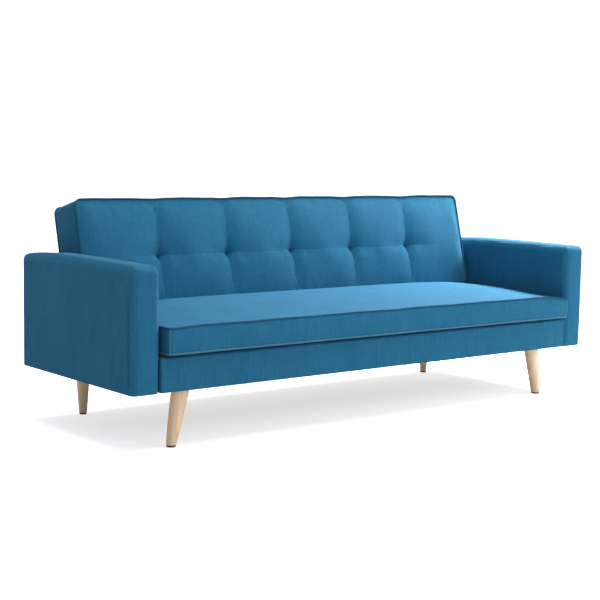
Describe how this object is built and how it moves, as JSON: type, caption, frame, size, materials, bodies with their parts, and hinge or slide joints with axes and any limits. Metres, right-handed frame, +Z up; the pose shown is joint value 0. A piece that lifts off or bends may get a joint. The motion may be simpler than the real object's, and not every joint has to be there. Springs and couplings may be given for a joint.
{
  "type": "sofa bed",
  "caption": "Upholstered futon sofa bed: box arms on a low base with splayed wooden legs, a lift-up seat cushion and a tufted backrest that folds flat on hidden ratchet hinges.",
  "frame": {"origin": "on the floor, under the centre of the bounding box", "axes": "+Z up, the front of the seat faces -Y, +X runs along the sofa to the sitter's left arm (the viewer's right)"},
  "size_m": [2.1, 0.78, 0.7724],
  "materials": {
    "upholstery": "matt plain-weave fabric over foam, with self-coloured piping",
    "frame_timber": "planed softwood, unfinished",
    "leg_wood": "turned light hardwood, satin clear lacquer",
    "black_steel": "satin black powder coat",
    "spring_steel": "oiled spring wire",
    "zinc_steel": "zinc-plated",
    "glide_plastic": "dark brown moulded plastic",
    "dust_cloth": "thin black non-woven cloth",
    "webbing": "woven elastic webbing"
  },
  "bodies": {
    "base": {"front_fascia": "upholstery", "base_rail_front": "frame_timber", "base_rail_rear": "frame_timber", "base_rail_centre": "frame_timber", "base_rail_left": "frame_timber", "base_rail_right": "frame_timber", "dust_cover": "dust_cloth", "arm_cover_left": "upholstery", "arm_core_left": "frame_timber", "arm_bolt_left_1": "zinc_steel", "arm_bolt_left_2": "zinc_steel", "hinge_bracket_left": "black_steel", "ratchet_housing_left": "black_steel", "pivot_bolt_left": "zinc_steel", "arm_cover_right": "upholstery", "arm_core_right": "frame_timber", "arm_bolt_right_1": "zinc_steel", "arm_bolt_right_2": "zinc_steel", "hinge_bracket_right": "black_steel", "ratchet_housing_right": "black_steel", "pivot_bolt_right": "zinc_steel", "leg_front_left": "leg_wood", "leg_plate_front_left": "zinc_steel", "leg_glide_front_left": "glide_plastic", "leg_front_right": "leg_wood", "leg_plate_front_right": "zinc_steel", "leg_glide_front_right": "glide_plastic", "leg_rear_left": "leg_wood", "leg_plate_rear_left": "zinc_steel", "leg_glide_rear_left": "glide_plastic", "leg_rear_right": "leg_wood", "leg_plate_rear_right": "zinc_steel", "leg_glide_rear_right": "glide_plastic"},
    "seat": {"seat_cushion": "upholstery", "seat_rail_front": "frame_timber", "seat_rail_rear": "frame_timber", "seat_rail_left": "frame_timber", "seat_rail_centre": "frame_timber", "seat_rail_right": "frame_timber", "seat_spring_1": "spring_steel", "seat_spring_2": "spring_steel", "seat_spring_3": "spring_steel", "seat_spring_4": "spring_steel", "seat_spring_5": "spring_steel", "seat_spring_6": "spring_steel", "seat_lever_left": "black_steel", "seat_lever_right": "black_steel"},
    "backrest": {"back_cushion": "upholstery", "back_rail_top": "frame_timber", "back_rail_bottom": "frame_timber", "back_stile_left": "frame_timber", "back_stile_centre": "frame_timber", "back_stile_right": "frame_timber", "back_rear_panel": "upholstery", "back_web_1": "webbing", "back_web_2": "webbing", "back_web_3": "webbing", "back_web_4": "webbing", "back_lever_left": "black_steel", "back_lever_right": "black_steel"}
  },
  "joints": [
    {"name": "backrest_recline", "type": "hinge", "parent": "base", "child": "backrest", "pos_m": [0, 0.17253, 0.37242], "axis": [-1, 0, 0], "range_deg": [-8, 76]},
    {"name": "seat_lift", "type": "hinge", "parent": "base", "child": "seat", "pos_m": [0, 0.17253, 0.37242], "axis": [-1, 0, 0], "range_deg": [0, 30]}
  ]
}
